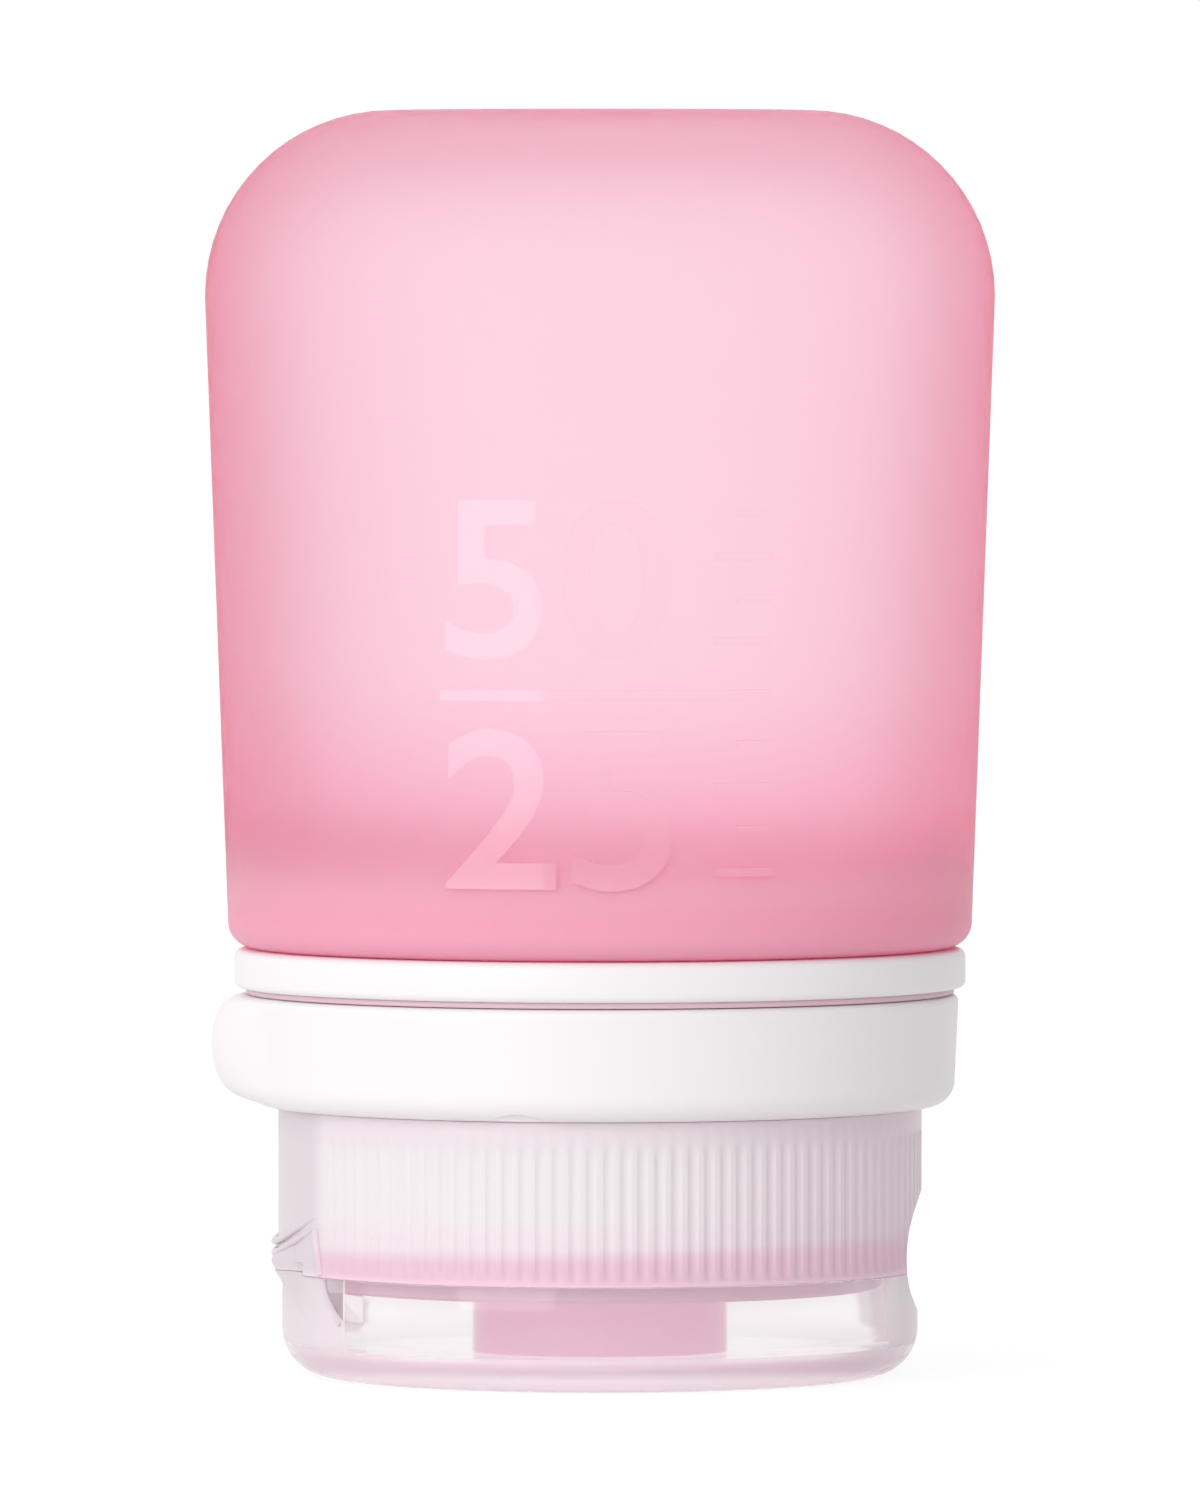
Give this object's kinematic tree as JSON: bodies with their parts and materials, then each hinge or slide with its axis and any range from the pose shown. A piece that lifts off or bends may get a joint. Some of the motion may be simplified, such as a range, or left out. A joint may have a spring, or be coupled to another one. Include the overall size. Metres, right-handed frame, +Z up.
{
  "type": "travel squeeze bottle",
  "caption": "Soft squeeze bottle, rounded and flattened towards its closed end, standing on a ribbed flip-top screw cap, with a swivel ring and side lug at the neck, for carrying liquids.",
  "frame": {"origin": "centre of the lid's flat face, on which the bottle stands", "axes": "+Z up from the lid to the soft body's closed end, lid hinge and ring lug at -X, -Y towards the front of the picture"},
  "size_m": [0.0438, 0.0412, 0.0702],
  "materials": {
    "silicone": "matte translucent pink silicone",
    "white_plastic": "satin moulded white",
    "frosted_plastic": "translucent natural plastic",
    "clear_plastic": "clear moulded plastic",
    "valve_silicone": "matte translucent silicone"
  },
  "bodies": {
    "bottle": {"bottle_body": "silicone", "shoulder_ring": "white_plastic", "collar": "white_plastic"},
    "loop": {"loop_ring": "white_plastic"},
    "valve": {"valve": "valve_silicone", "valve_retainer": "white_plastic"},
    "cap": {"screw_cap": "frosted_plastic"},
    "lid": {"flip_lid": "clear_plastic"}
  },
  "joints": [
    {"name": "loop_swivel", "type": "hinge", "parent": "bottle", "child": "loop", "pos_m": [0, 0, 0.01805], "axis": [0, 0, 1], "continuous": true},
    {"name": "cap_rise", "type": "slide", "parent": "bottle", "child": "valve", "axis": [0, 0, -1], "range_m": [0, 0.0025]},
    {"name": "cap_turn", "type": "hinge", "parent": "valve", "child": "cap", "pos_m": [0, 0, 0.0101], "axis": [0, 0, -1], "range_deg": [0, 300]},
    {"name": "lid_flip", "type": "hinge", "parent": "cap", "child": "lid", "pos_m": [-0.0178, 0, 0.0066], "axis": [0, 1, 0], "range_deg": [0, 140]}
  ],
  "couplings": [
    {"joint": "cap_rise", "follows": "cap_turn", "m_per_rad": 0.00047746}
  ]
}
